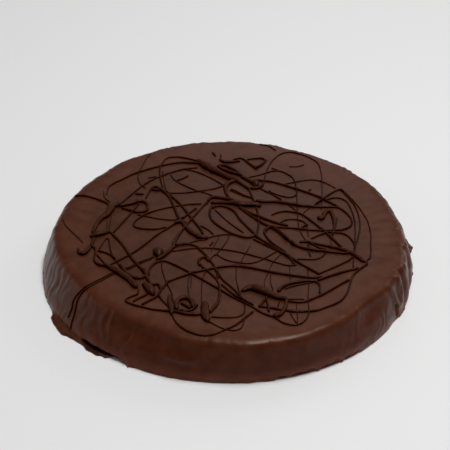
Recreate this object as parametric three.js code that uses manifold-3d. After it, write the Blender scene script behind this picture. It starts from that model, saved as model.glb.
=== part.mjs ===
// A round chocolate hazelnut cake: a low, uncut cake under one poured coat of dark chocolate,
// with threads of chocolate thrown across its top from a spoon. The coat hides whatever is inside,
// so cake, coat and threads are one solid. Millimetres, +Z up, origin in the middle of the underside.
import * as THREE from "three";
import { mergeVertices } from "three/addons/utils/BufferGeometryUtils.js";
import Module from "manifold-3d";

const { clamp, lerp, mapLinear, smoothstep } = THREE.MathUtils;

// Driving dimensions of the coated cake.
const BASE_RADIUS = 130;
const TOP_RADIUS = 123;
const HEIGHT = 30;
const FOOT_THICKNESS = 0.7;
const FOOT_TOP = 1.4;
const EDGE_ROUND = 0.5;

// The side, which leans out to the foot: distances out from TOP_RADIUS, and heights.
const SIDE = [
  { flare: BASE_RADIUS - TOP_RADIUS, z: 0 },
  { flare: 6.96, z: FOOT_THICKNESS },
  { flare: 6.92, z: FOOT_TOP },
  { flare: 6.83, z: 2.9 },
  { flare: 6.8, z: 3.5 },
  { flare: 6.4, z: 6 },
  { flare: 5.1, z: 11 },
  { flare: 3.4, z: 16 },
  { flare: 1.4, z: 21.5 },
];

// The shoulder from the side to the flat of the top: distances in from TOP_RADIUS and down from HEIGHT.
const SHOULDER = [
  { inset: 0, drop: 5.2 },
  { inset: 1.2, drop: 3 },
  { inset: 2.9, drop: 1.4 },
  { inset: 5.9, drop: 0.4 },
  { inset: 11, drop: 0 },
];

// The flat of the top, a disc laid flush in a shallow dish of the turned body.
const FLAT_RADIUS = 107;
const FLAT_DEPTH = 6;
const FLAT_SEGMENTS = 24;
const DISH_DEPTH = 1;

// The cake isn't quite round: each outline swells by depth, towards the azimuth peak and its repeats.
const BASE_OUTLINE = [
  { lobes: 1, depth: 1.0, peak: 205 },
  { lobes: 5, depth: 0.5, peak: 20 },
];
const TOP_OUTLINE = [
  { lobes: 1, depth: 1.5, peak: 0 },
  { lobes: 2, depth: 1.5, peak: 135 },
  { lobes: 7, depth: 0.4, peak: 40 },
];

// How much further the base and the top reach than those outlines, as [azimuth, push] round the cake.
const BASE_REACH = [
  [0, -4], [4, -3.8], [7, -1.4], [11, 0], [150, 0], [158, -2.2], [176, -2.2], [184, -1.2], [196, -0.2],
  [203, -0.5], [208, 0.3], [216, 0.3], [226, -0.6], [266, -0.7], [300, -1.2], [316, -0.8], [326, -0.7],
  [331, -1.3], [335, -0.4], [339, 0.2], [344, -1.4], [352, -0.9], [356, -0.6], [360, -4],
];
const TOP_REACH = [
  [0, -1.2], [4.5, -1.5], [9, -1.8], [13.5, -2.7], [19, -1.8], [26, -1.2], [32, -0.6], [38, -0.3], [44, -0.3],
  [52, -1], [75, -1.4], [90, -1.4], [95.5, -2.6], [101, -1.4], [112, -1.5], [120, -2.3], [136, -2.3],
  [146, -3.1], [154, -2.3], [161, -0.8], [168, 0.1], [173, 0.6], [178.5, 2], [186, 1.2], [200, 0], [238, 0],
  [249, 0.6], [255, 2.6], [262, 2.6], [268, 3.2], [276, 4.8], [285, 3.6], [293, 3.2], [300, 1.6],
  [309, -0.4], [317, -1.6], [330, -1.4], [340, 0], [352, 0], [360, -1.2],
];

// How much lower than elsewhere the shoulder hangs, as [azimuth, droop], and the radii between which it
// comes in.
const DROOP = [
  [0, 0], [40, 0.1], [70, 0], [130, 0.4], [190, 0], [246, 0], [252, 0.5], [258, 1], [275, 1], [284, 0.8],
  [293, 0.5], [302, 0.2], [312, 0], [360, 0],
];
const DROOP_BEGINS = 109;
const DROOP_WHOLE = 122.5;

// Outline of the foot as [azimuth, push], where the coat ran out before it set or stopped short.
const FOOT = [
  [0, -0.4], [2.5, -0.4], [5, 0.9], [7.5, 2.2], [9.5, 3], [11.3, 4], [14, 2.8], [17, 3], [20, 2.5],
  [30, 0], [60, -1], [82, 0], [95, 3], [108, 0], [140, 0.5], [150, 2], [160, 0.6], [165, 1.2],
  [170, 0.2], [175, -0.4], [182, 0], [187, 0.5], [193, 0.4], [198, -0.3], [203.5, -0.8], [206.5, 0.7],
  [208.5, 3.6], [211, 5], [216.5, 5.8], [218.6, 3.4], [221, 2.5], [223.7, 2.1], [226.4, 3.2],
  [230.2, 3.4], [231.8, 1.6], [233, 1.8], [234.8, -2.6], [236.5, -2.4], [239, 0], [240.7, 0.9],
  [243, 0], [252, 0.5], [262, 0.3], [274, 0.4], [276.5, 0.9], [279, 0.3], [283, 0.8], [290, 0.8],
  [300, 0.7], [310, 0.6], [316, -0.2], [322, -1.2], [327, -1], [331, -0.6], [333, -1.2], [334.6, 0.4],
  [337, 0.6], [341, 0.1], [346, -0.6], [352, -1.1], [354.5, -0.8], [356.3, -0.1], [357.8, -0.4],
  [360, -0.4],
];

// The hollow above the foot, where the coat hangs clear of it, as [azimuth, push] between two heights.
const HOLLOW = [[0, 0], [222.6, 0], [224.2, -7], [229, -7], [234, -4], [238.5, 0], [360, 0]];
const HOLLOW_FLOOR = FOOT_TOP - 0.5;
const HOLLOW_ROOF = 3.5;
const HOLLOW_EDGE = 0.5;

// Leaning folds that the coat left as it ran down: the azimuth at the top and at the foot, half the width in
// degrees, the push outwards and the heights that each runs between.
const FOLDS = [
  { high: 343, low: 343.5, half: 3.4, push: 1.1, from: 0, to: 31 },
  { high: 338.4, low: 335, half: 2.2, push: 0.9, from: 8, to: 31 },
  { high: 340.2, low: 339, half: 2.4, push: -1.7, from: 4, to: 31 },
  { high: 331, low: 334.5, half: 2.4, push: 0.8, from: 8, to: 28 },
  { high: 352.5, low: 346.5, half: 4.2, push: -1.9, from: 6, to: 31 },
  { high: 357.5, low: 356, half: 3, push: 0.3, from: 0, to: 31 },
  { high: 331.3, low: 333.2, half: 1.6, push: -2.4, from: 3, to: 13 },
  { high: 75, low: 73, half: 5, push: 1.0, from: 0, to: 31 },
  { high: 140, low: 143, half: 6, push: -1.2, from: 3, to: 31 },
  { high: 108, low: 105, half: 4, push: -0.9, from: 5, to: 28 },
  { high: 40, low: 44, half: 5, push: -1.1, from: 2, to: 31 },
];
const FOLD_FADE = 2;

// Lumps and dents in the side, each half long along it and half high up it.
const LUMPS = [
  { at: 10.8, z: 2.5, long: 3, high: 3, push: 2 },
  { at: 353.5, z: 6.5, long: 2.6, high: 2.6, push: 0.8 },
  { at: 333.6, z: 2.6, long: 2, high: 2, push: 0.3 },
  { at: 240.7, z: 1.4, long: 1.6, high: 1.6, push: 1.2 },
  { at: 203, z: 2, long: 32, high: 9, push: 1.5 },
  { at: 222, z: 3, long: 42, high: 10, push: 1.3 },
  { at: 243, z: 23.5, long: 46, high: 10, push: -1.8 },
  { at: 256, z: 15, long: 16, high: 4, push: 0.9 },
  { at: 259, z: 10, long: 14, high: 5, push: -0.6 },
  { at: 231, z: 12, long: 12, high: 6, push: 0.6 },
  { at: 297, z: 14, long: 20, high: 6, push: -0.5 },
  { at: 312, z: 9, long: 16, high: 6, push: 0.5 },
  { at: 320, z: 24.5, long: 26, high: 11, push: -1.9 },
  { at: 170, z: 12, long: 20, high: 8, push: 0.7 },
  { at: 100, z: 16, long: 24, high: 8, push: -0.8 },
  { at: 45, z: 10, long: 20, high: 7, push: 0.7 },
];

// Columns round the side, closer together where the coat is more broken: each stretch runs to the next.
const STRETCHES = [
  { from: 0, step: 1.8 },
  { from: 14, step: 5 },
  { from: 196, step: 1.6 },
  { from: 244, step: 3.6 },
  { from: 324, step: 1.8 },
];

// Threads of the drizzle: the width along each, from start to end, and the points [x, y] of the top
// that it passes over. The first group sweeps round the top in long curves.
const SWEEPS = [
  {
    width: [1.1, 1.5, 1.7],
    path: [[-88, 42], [-88, 47], [-86.5, 53], [-80, 60], [-70, 69.5], [-40, 85], [-24, 85]],
  },
  {
    width: [1.2],
    path: [[-46, 46], [-48.5, 52], [-51.5, 79], [-47, 91], [-41, 93], [-34, 92], [-25, 88.5]],
  },
  { width: [1.4, 1.2, 1.7, 1.8], path: [[-110, 40], [-104, 39.5], [-86.5, 29.5], [-85, 26]] },
  {
    width: [1.2],
    path: [[-21, 32], [-33, 30], [-52, 22.5], [-60, 16.5], [-65.5, 9.5], [-67, 4], [-64, 0.5],
      [-51, -0.5], [-45, 2]],
  },
  {
    width: [1.6, 1.2],
    path: [[-53.5, -54], [-53, -47], [-50.5, -41.5], [-46.5, -38.5], [-42, -39], [-7, -68], [2, -76.5],
      [14, -86], [22, -93.5], [31, -98.5]],
  },
  {
    width: [1.2, 1.2, 0.9],
    path: [[31, -98.5], [35, -103.5], [42, -106], [47, -104.5], [51, -99], [53, -91]],
  },
  {
    width: [1.4, 1.9, 1.9, 1.6],
    path: [[-41.5, -62.5], [-25, -51.5], [-14, -47], [-8, -44.5], [6, -42.5], [30, -49], [50, -53.5],
      [58, -54], [62, -53]],
  },
  {
    width: [1.3],
    path: [[-46, -76], [-44, -81], [-38, -91], [-35, -102], [-26, -113.5], [-13, -117.5], [-1, -112],
      [10, -101], [16, -93]],
  },
  {
    width: [1.4, 1.4, 1.6, 2.6],
    path: [[-59.5, -71], [-60, -76], [-64, -79], [-67.5, -83], [-65, -86], [-49, -92.5], [-34, -94.5],
      [-28, -96.5], [-22, -97], [-17, -96]],
  },
  {
    width: [1.4],
    path: [[21, -87], [42, -91.5], [58, -90], [71, -82], [76, -76], [79, -69], [83, -52], [87, -45],
      [92, -39], [93.5, -36]],
  },
  { width: [1.5], path: [[38, -80.5], [44, -81.5], [50, -81], [66, -69.5], [80, -56]] },
  {
    width: [2.4, 1.8, 1.3],
    path: [[33, -70], [35, -66.5], [40, -62], [53, -58], [58, -58.5], [60.5, -61.5], [60.5, -71]],
  },
  { width: [1.6], path: [[17.5, 64.5], [22, 63.5], [30, 62], [62, 44.5], [67, 40], [76, 32]] },
  {
    width: [1.2],
    path: [[61, 34.5], [65, 39], [70, 46], [79, 53.5], [83, 46], [89, 31], [91, 8], [86, -20]],
  },
  {
    width: [2.4, 2.2, 1.4, 1.4],
    path: [[18.5, 36.5], [25, 36], [33, 36], [50, 32], [60, 30.5], [75, 30.5], [79, 28], [85, 17],
      [85.5, 12]],
  },
  { width: [1.4], path: [[85.5, 12], [84.5, 8], [81, 4.5], [76, 2.5], [60, 1.5], [40, 4], [30, 4.5]] },
  {
    width: [1.2, 1.3, 1.8, 1.8],
    path: [[30, 20], [34, 23], [40, 24.5], [46, 23], [50, 21.5], [69, -4.5], [76.5, -17.5]],
  },
  {
    width: [1.7],
    path: [[-13, 29], [-14, 24], [-14, 18], [-12, 11], [0, -3], [10, -8.5], [14, -8.5], [18, -6.5]],
  },
  { width: [1.6, 1.3], path: [[18, -6.5], [19.5, 0], [20, 18], [15, 45], [13, 52]] },
  { width: [1.6], path: [[-12, 27], [-10, 29], [-6, 29.5], [2, 24.5], [8, 11.5], [16.5, -2.5]] },
  { width: [1.2], path: [[57, -8], [68, -1], [80, -2.5], [86, -15], [83, -31], [76, -38], [62, -48.5]] },
];

// Straighter throws that cross the middle.
const THROWS = [
  {
    width: [1.2, 1.8, 2.4, 1.7, 1.8, 2.2, 3.2, 3.6],
    path: [[-60, 38], [-56, 51], [-54, 52.5], [-45, 43], [-35, 12], [-27, -3], [-23, -7.5]],
  },
  { width: [1.7], path: [[-46, 46], [-36, 32], [-27, 14], [-20, 0], [-18.5, -4.5]] },
  { width: [1.3], path: [[-80, -43.5], [-66.5, -30.5], [-58, -19.5], [-50, -7.5], [-37, 8], [-24, 26]] },
  {
    width: [1.5, 1.5, 1.5, 2.8, 2.6],
    path: [[-16, 34], [-20, 27], [-36.5, -11], [-38, -17], [-38.5, -22], [-44, -31.5], [-48.5, -36.5]],
  },
  { width: [1.5], path: [[-64.5, 31], [-69.5, 18.5], [-80, -5]] },
  { width: [1.8], path: [[-82, -6], [-74, -18.5], [-64.5, -38.5], [-56, -52]] },
  { width: [1.5], path: [[-38, -20], [-29, -18], [-25, -19], [-21, -22.5], [-10, -43], [-7, -56]] },
  {
    width: [1.4, 1.5, 2.6],
    path: [[-19.5, -41], [-17, -45.5], [-14, -49], [-7, -61], [-6.5, -82], [-11.5, -94]],
  },
  { width: [1.4], path: [[-7.5, -50], [-4, -58], [5, -71], [10, -81]] },
  { width: [1.3], path: [[-4.5, -64], [5, -76], [16, -85]] },
  { width: [1.9], path: [[7, 29], [13, 22.5], [35, 8.5], [40, 7]] },
  { width: [1.5, 1.6, 2.4, 2.6], path: [[7, 27], [22, 10], [32, 1.5], [39, -8.5], [45, -15.5]] },
  { width: [1.7], path: [[18, -6.5], [23, -12], [42, -31], [48, -38], [60.5, -49.5]] },
  { width: [1.6], path: [[24.5, 2], [24.5, -4], [29, -14], [38, -24.5]] },
  { width: [1.2, 1.2, 1.8], path: [[17, -11], [41, -31.5], [44, -38.5]] },
  { width: [1.8], path: [[60, -56.5], [72, -49.5], [87, -42.5]] },
  {
    width: [1.8, 1.8, 2.6, 2.6],
    path: [[49, -13], [53, -12.5], [57, -14], [80, -22.5], [88, -30], [91.5, -34.5]],
  },
  { width: [2.6, 2, 1.8], path: [[43, -14.5], [47, -18], [53, -21], [66, -23.5], [78, -25.5], [83, -25]] },
  { width: [1.3], path: [[55, -13.5], [63, -20.5], [66, -22.5]] },
];

// Hooks and small loops where the spoon turned back.
const HOOKS = [
  {
    width: [1.6, 1.8, 2, 2.4, 2.8, 3.2, 3.2],
    path: [[-76, 24.5], [-66, 20], [-61, 20.5], [-58.5, 23], [-59, 31], [-62, 33.5], [-65, 33.5],
      [-69, 31], [-78, 27]],
  },
  {
    width: [2.6, 2.4, 2.6, 3.4, 3, 1.8],
    path: [[-93.5, -13], [-94, -19], [-99.5, -32], [-102, -30.5], [-103, -26]],
  },
  {
    width: [2.2, 1.8, 1.6, 2, 2.6, 2.4],
    path: [[-95, -22.5], [-92, -24.5], [-91, -28.5], [-91.5, -36], [-90, -41.5], [-87, -44.5], [-83, -45]],
  },
  { width: [1.8, 2.6, 2.8, 2.4], path: [[-73, -44], [-70.5, -50], [-63, -58], [-58.5, -58], [-56, -56]] },
  { width: [2.2, 2.4, 1.6, 1.4], path: [[-57.5, -49.5], [-55.5, -53.5], [-54.5, -58], [-50.5, -68]] },
  { width: [2.8], path: [[-38.5, -77], [-38.5, -84], [-36.5, -97]] },
  {
    width: [3.4],
    path: [[-33.5, -92], [-34, -86], [-32.5, -81.5], [-29, -79.5], [-25.5, -80.5], [-23.5, -84],
      [-23, -89]],
  },
  { width: [1.8], path: [[-30.5, -85.5], [-25, -90]] },
  { width: [2], path: [[-31, -93], [-27, -93.5], [-23, -91.5], [-20.5, -87]] },
  { width: [1.7], path: [[-20, -42], [-20.5, -37], [-18.5, -33.5], [-15.5, -34], [-14, -37]] },
  { width: [2.4], path: [[38, -78], [38, -84], [34.5, -94.5], [30, -97.5]] },
  { width: [1.7], path: [[26, -76], [23, -82], [20.5, -87]] },
  { width: [1.5], path: [[25, -79], [26, -85], [26.5, -91.5]] },
  {
    width: [3.2, 3, 2.8, 2, 1.5],
    path: [[62.5, 18], [63.5, 15.5], [65.5, 17.5], [66.5, 22], [68.5, 25], [70.5, 25.5], [72, 22.5],
      [73, 9], [71.5, -3]],
  },
  { width: [1.7], path: [[25.5, 0.5], [27, 3.5], [30, 3.5], [40, -10.5]] },
  { width: [3.4, 3.2, 2, 1.8], path: [[4, 62.5], [0, 60], [-3, 56], [-3.5, 50], [0, 38.5], [4, 33]] },
  { width: [2.6, 3.2, 2.8], path: [[8, 68], [11.5, 65], [18, 58]] },
  { width: [2.2], path: [[23.5, 60.5], [22.5, 56.5], [19.5, 53.5], [15, 53]] },
  { width: [2.6, 2.2], path: [[3, 63.5], [8, 58.5], [13, 52.5]] },
  { width: [1.6, 2.4, 1.3], path: [[-8, 90.5], [-5, 87.5], [6, 89]] },
  { width: [1.2, 1.6, 2.2], path: [[2, 91], [6.5, 93], [9.5, 91.5], [12, 88], [18.5, 79.5]] },
  { width: [2.2, 1.6], path: [[18.5, 80], [24, 87], [26, 91]] },
  { width: [1.2, 1.5], path: [[12.5, 91.5], [18, 93], [23.5, 93], [24.5, 91.5]] },
  { width: [1.8], path: [[-56, -87], [-47, -77.5], [-45, -72], [-41, -63]] },
  { width: [1.7], path: [[-62, -84], [-57.5, -79.5], [-53, -75]] },
  { width: [2], path: [[-50, -66.5], [-48, -64.5], [-46, -66], [-45, -70]] },
  { width: [1.8, 2.6, 1.6], path: [[-38, 6.5], [-35, 8.5], [-31, 7.5]] },
];

// Drops, where the thread fell thick: they swell to several millimetres and taper away.
const DROPS = [
  { width: [3.8, 6, 6, 5.2, 4, 2.6], path: [[-24.5, 88], [-13, 76], [1, 64.5], [6, 61.5]] },
  {
    width: [2.6, 5, 4.6, 3.4, 2.2],
    path: [[-77, 28.5], [-82, 26.5], [-86.5, 15], [-90, 10.5], [-92.5, 4], [-94.5, -6]],
  },
  { width: [3.4, 4.8, 4.2, 2.6], path: [[-95.5, -11], [-87, -7], [-83.5, -5]] },
  { width: [2.6, 4.8, 4.8, 3.8], path: [[-84, -44.5], [-77.5, -49.5], [-66, -61], [-61, -69]] },
  { width: [3.2, 4, 3.2], path: [[-23, -7.5], [-19.5, -10], [-15.5, -10]] },
  { width: [3.5, 7, 4], path: [[-51, -25], [-48.5, -28.5], [-47.5, -33.5]] },
  { width: [2.8, 5.5, 6, 3], path: [[-56.5, -64.5], [-53.5, -68.5], [-49.5, -76.5]] },
  { width: [2.8, 6, 6, 3.4], path: [[-15.5, -84], [-14.5, -99], [-12.5, -104]] },
  {
    width: [2, 4.8, 6.4, 5.2, 3.8, 2.4],
    path: [[9, -70.5], [15, -67.5], [21, -69.5], [33, -77.5], [38, -79]],
  },
  { width: [2, 2.2, 3.4, 5, 4.8, 3.2], path: [[-13, 33.5], [1, 33], [8, 31.5], [15, 31.5], [21.5, 30.5]] },
  { width: [2.2, 2.4, 2.2], path: [[-15.5, 36], [-14, 39.5], [-11, 40.5], [-2, 38], [2.5, 34.5]] },
  { width: [4.4, 5, 3.2], path: [[16, 61], [18.5, 58], [17.5, 55.5]] },
  { width: [1.8, 2.4, 2.4, 2], path: [[-9.5, 81], [-6.5, 83], [3.5, 76], [7.5, 70.5]] },
  { width: [1.8, 2.6, 2.6, 2], path: [[-9, 80.5], [-6, 77.5], [8, 69.5]] },
];

// A thread of unit width stands THREAD_RISE high, and wider ones sag. It is set a little into the coat,
// and its ends are drawn in to a share of its width.
const THREAD_RISE = 0.95;
const THREAD_SAG = 0.75;
const THREAD_SINK = 0.5;
const THREAD_END = 0.6;
const STEPS_PER_SPAN = 1.5;

// Sections of a thread as [across, up] in shares of its width and rise: slender ones are plain ridges.
const SLENDER_WIDTH = 2.5;
const SLENDER_SECTION = [[-0.5, -1], [0, 1], [0.5, -1]];
const THICK_SECTION = [[-0.5, -1], [-0.36, 0.6], [0, 1], [0.36, 0.6], [0.5, -1]];

const DEGREE = Math.PI / 180;

// Degrees from one azimuth to another, the short way round.
function turnBetween(azimuth, other) {
  return ((((azimuth - other + 180) % 360) + 360) % 360) - 180;
}

// A rounded hump: 1 in its middle and 0 from a share of 1 outwards.
function hump(share) {
  return Math.cos(clamp(share, 0, 1) * 90 * DEGREE) ** 2;
}

// Sum of the waves of an outline at an azimuth in degrees.
function swell(waves, azimuth) {
  return waves.reduce((sum, w) => sum + w.depth * Math.cos(w.lobes * (azimuth - w.peak) * DEGREE), 0);
}

// A value that eases from point to point of a list of [azimuth, value] round the cake.
function around(points, azimuth) {
  const turn = ((azimuth % 360) + 360) % 360;
  const after = points.findIndex(([at]) => at > turn);
  const [[start, first], [end, second]] = points.slice(after - 1, after + 1);
  return lerp(first, second, smoothstep(turn, start, end));
}

// Push of the folds at an azimuth and height.
function foldsAt(azimuth, z) {
  return FOLDS.reduce((sum, fold) => {
    const middle = lerp(fold.low, fold.high, z / HEIGHT);
    const begun = smoothstep(z, fold.from - FOLD_FADE, fold.from + FOLD_FADE);
    const ended = smoothstep(z, fold.to - FOLD_FADE, fold.to + FOLD_FADE);
    return sum + fold.push * begun * (1 - ended) * hump(Math.abs(turnBetween(azimuth, middle)) / fold.half);
  }, 0);
}

// Push of the lumps and dents at an azimuth and height.
function lumpsAt(azimuth, z) {
  return LUMPS.reduce((sum, lump) => {
    const aside = turnBetween(azimuth, lump.at) * DEGREE * BASE_RADIUS;
    return sum + lump.push * hump(Math.hypot(aside / lump.long, (z - lump.z) / lump.high));
  }, 0);
}

// How far the surface at this azimuth and height lies outside the plain turned section.
function push(azimuth, z) {
  const up = z / HEIGHT;
  const foot = 1 - smoothstep(z, FOOT_THICKNESS, FOOT_TOP);
  const aboveFloor = smoothstep(z, HOLLOW_FLOOR, HOLLOW_FLOOR + HOLLOW_EDGE);
  const underRoof = 1 - smoothstep(z, HOLLOW_ROOF - HOLLOW_EDGE, HOLLOW_ROOF);
  const tuck = clamp(1 - z / EDGE_ROUND, 0, 1) ** 2;
  return (
    (swell(BASE_OUTLINE, azimuth) + around(BASE_REACH, azimuth)) * (1 - up) +
    (swell(TOP_OUTLINE, azimuth) + around(TOP_REACH, azimuth)) * up +
    foldsAt(azimuth, z) +
    lumpsAt(azimuth, z) +
    around(FOOT, azimuth) * foot +
    around(HOLLOW, azimuth) * aboveFloor * underRoof -
    EDGE_ROUND * tuck
  );
}

// The foot, side and shoulder in section, from the lower edge to the flat of the top.
const SECTION = [
  ...SIDE.map(({ flare, z }) => new THREE.Vector2(TOP_RADIUS + flare, z)),
  ...SHOULDER.map(({ inset, drop }) => new THREE.Vector2(TOP_RADIUS - inset, HEIGHT - drop)),
];

// A point of the section at an azimuth: how far out it reaches, and how high it lies.
function rimAt(point, azimuth) {
  const droop = around(DROOP, azimuth) * smoothstep(point.x, DROOP_BEGINS, DROOP_WHOLE);
  return { reach: point.x + push(azimuth, point.y), z: point.y * (1 - droop / HEIGHT) };
}

// The azimuths of the columns.
function columnAzimuths() {
  return STRETCHES.flatMap(({ from, step }, i) => {
    const to = i + 1 < STRETCHES.length ? STRETCHES[i + 1].from : 360;
    const count = Math.round((to - from) / step);
    return Array.from({ length: count }, (_, k) => lerp(from, to, k / count));
  });
}

// The coated cake without its drizzle: the section turned about Z, then pushed out of round.
function bodyGeometry() {
  const azimuths = columnAzimuths();
  const dish = new THREE.Vector2(0, HEIGHT - DISH_DEPTH);
  const profile = [new THREE.Vector2(0, 0), ...SECTION, dish];
  const turned = new THREE.LatheGeometry(profile, azimuths.length);
  const position = turned.getAttribute("position");
  for (let i = 0; i < position.count; i++) {
    const point = profile[i % profile.length];
    const azimuth = azimuths[Math.floor(i / profile.length) % azimuths.length];
    const { reach, z } = point.x > 0 ? rimAt(point, azimuth) : { reach: 0, z: point.y };
    position.setXYZ(i, reach * Math.cos(azimuth * DEGREE), reach * Math.sin(azimuth * DEGREE), z);
  }
  return turned;
}

// The flat of the top.
function flatGeometry() {
  const disc = new THREE.CylinderGeometry(FLAT_RADIUS, FLAT_RADIUS, FLAT_DEPTH, FLAT_SEGMENTS);
  return disc.rotateX(90 * DEGREE).translate(0, 0, HEIGHT - FLAT_DEPTH / 2);
}

// Height of the coat's surface over a point of the plan.
function heightAt(x, y) {
  const radius = Math.hypot(x, y);
  const azimuth = Math.atan2(y, x) / DEGREE;
  const rims = SECTION.map((point) => rimAt(point, azimuth));
  const outside = rims.findLastIndex((rim) => rim.reach > radius);
  if (outside === rims.length - 1) return HEIGHT;
  const [lower, upper] = rims.slice(outside, outside + 2);
  return mapLinear(radius, lower.reach, upper.reach, lower.z, upper.z);
}

// A value part way along a list, from its first entry at 0 to its last at 1.
function along(list, share) {
  const place = share * (list.length - 1);
  const before = Math.floor(place);
  const after = Math.min(before + 1, list.length - 1);
  return lerp(list[before], list[after], place - before);
}

// One thread as a closed ridge: its section swept along its path over the coat.
function threadGeometry({ width, path }) {
  const points = path.map(([x, y]) => new THREE.Vector3(x, y, 0));
  const curve = new THREE.CatmullRomCurve3(points, false, "centripetal");
  const steps = Math.ceil(STEPS_PER_SPAN * (path.length - 1));
  const section = Math.max(...width) < SLENDER_WIDTH ? SLENDER_SECTION : THICK_SECTION;
  const sides = section.length;
  const vertices = [];
  const faces = [];
  for (let i = 0; i <= steps; i++) {
    const middle = curve.getPoint(i / steps);
    const forward = curve.getTangent(i / steps);
    const atEnd = i === 0 || i === steps;
    const wide = along(width, i / steps) * (atEnd ? THREAD_END : 1);
    const base = heightAt(middle.x, middle.y);
    for (const [across, up] of section) {
      const rise = up > 0 ? up * THREAD_RISE * wide ** THREAD_SAG : -THREAD_SINK;
      vertices.push(middle.x - forward.y * across * wide, middle.y + forward.x * across * wide, base + rise);
    }
  }
  for (let i = 0; i < steps; i++) {
    for (let j = 0; j < sides; j++) {
      const a = i * sides + j;
      const b = i * sides + ((j + 1) % sides);
      faces.push(a, a + sides, b, b, a + sides, b + sides);
    }
  }
  const last = steps * sides;
  for (let j = 1; j < sides - 1; j++) {
    faces.push(0, j, j + 1, last, last + j + 1, last + j);
  }
  return new THREE.BufferGeometry()
    .setAttribute("position", new THREE.Float32BufferAttribute(vertices, 3))
    .setIndex(faces);
}

const wasm = await Module();
wasm.setup();

// A closed geometry as a solid that can be joined to others.
function toSolid(geometry) {
  const bare = geometry.clone();
  bare.deleteAttribute("normal");
  bare.deleteAttribute("uv");
  const merged = mergeVertices(bare, 1e-4);
  const corners = merged.index.array;
  const faces = [];
  for (let i = 0; i < corners.length; i += 3) {
    const [a, b, c] = corners.slice(i, i + 3);
    const pointed = a !== b && b !== c && c !== a;
    if (pointed) faces.push(a, b, c);
  }
  return new wasm.Manifold(
    new wasm.Mesh({
      numProp: 3,
      vertProperties: new Float32Array(merged.getAttribute("position").array),
      triVerts: new Uint32Array(faces),
    }),
  );
}

// A joined solid back as a geometry to show.
function toGeometry(solid) {
  const mesh = solid.getMesh();
  const geometry = new THREE.BufferGeometry()
    .setAttribute("position", new THREE.Float32BufferAttribute(mesh.vertProperties, 3))
    .setIndex(new THREE.BufferAttribute(mesh.triVerts, 1));
  geometry.computeVertexNormals();
  return geometry;
}

let cakeSolid = toSolid(bodyGeometry()).add(toSolid(flatGeometry()));
for (const thread of [...SWEEPS, ...THROWS, ...HOOKS, ...DROPS]) {
  cakeSolid = cakeSolid.add(toSolid(threadGeometry(thread)));
}

const chocolate = new THREE.MeshStandardMaterial({ color: 0x4b3229, roughness: 0.5, metalness: 0 });
const cake = new THREE.Mesh(toGeometry(cakeSolid), chocolate);
cake.name = "cake";

const part = new THREE.Group();
part.add(cake);

export default part;
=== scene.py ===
"""Looks of a chocolate hazelnut cake: its poured coat and the threads drizzled over it.

Sizes are in millimetres, as in the part's source, and become metres where a mesh is made. A place on
the coat is a pair (u, v): the plan on the flat of the top, which runs on along the surface, unstretched,
over the shoulder and down the side. So one curve can cross the top and run over the edge.
"""
import math

import bpy
import numpy as np
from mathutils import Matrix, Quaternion, Vector, noise


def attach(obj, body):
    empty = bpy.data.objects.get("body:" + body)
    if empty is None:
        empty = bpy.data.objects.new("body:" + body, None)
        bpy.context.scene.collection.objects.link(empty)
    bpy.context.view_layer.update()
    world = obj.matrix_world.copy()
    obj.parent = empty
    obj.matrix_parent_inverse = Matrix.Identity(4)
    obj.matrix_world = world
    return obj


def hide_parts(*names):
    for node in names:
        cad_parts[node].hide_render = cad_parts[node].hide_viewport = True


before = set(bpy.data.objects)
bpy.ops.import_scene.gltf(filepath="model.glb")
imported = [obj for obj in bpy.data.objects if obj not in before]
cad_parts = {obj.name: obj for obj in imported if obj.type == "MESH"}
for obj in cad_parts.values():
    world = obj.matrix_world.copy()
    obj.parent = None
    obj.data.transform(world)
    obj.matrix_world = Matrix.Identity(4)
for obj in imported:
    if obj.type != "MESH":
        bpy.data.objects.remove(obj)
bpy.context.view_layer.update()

MM = 0.001

# Driving dimensions of the coated cake, as in the part's source.
BASE_RADIUS = 130
TOP_RADIUS = 123
HEIGHT = 30

# Inside this radius the top is flat and evenly round.
FLAT_SHARE_FROM = 90

# The shoulder from the flat of the top to the side: distances in from TOP_RADIUS and down from HEIGHT.
SHOULDER = [(17, 0), (8.8, 0.15), (5.9, 0.4), (4.1, 0.85), (2.6, 1.6), (1.4, 2.7), (0.4, 4.2)]

# The side below it, which leans out to the foot: distances out from TOP_RADIUS and heights.
SIDE = [(0.8, 23), (2.3, 19), (3.8, 15), (5.1, 11), (6.2, 7), (6.8, 3.5), (BASE_RADIUS - TOP_RADIUS, 0)]

# How much lower than elsewhere the shoulder hangs: (azimuth, droop). Below it, the radii at which the droop
# begins and is whole.
DROOP = [
    (0, 0), (40, 0.1), (70, 0), (130, 0.4), (190, 0), (246, 0), (252, 0.5), (258, 1), (275, 1), (284, 0.8),
    (293, 0.5), (302, 0.2), (312, 0), (360, 0),
]
DROOP_FROM = (109, 122.5)

# The cake isn't quite round: (lobes, depth, azimuth of the peak) of each wave in an outline.
BASE_OUTLINE = [(1, 1.0, 205), (5, 0.5, 20)]
TOP_OUTLINE = [(1, 1.5, 0), (2, 1.5, 135), (7, 0.4, 40)]

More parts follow.
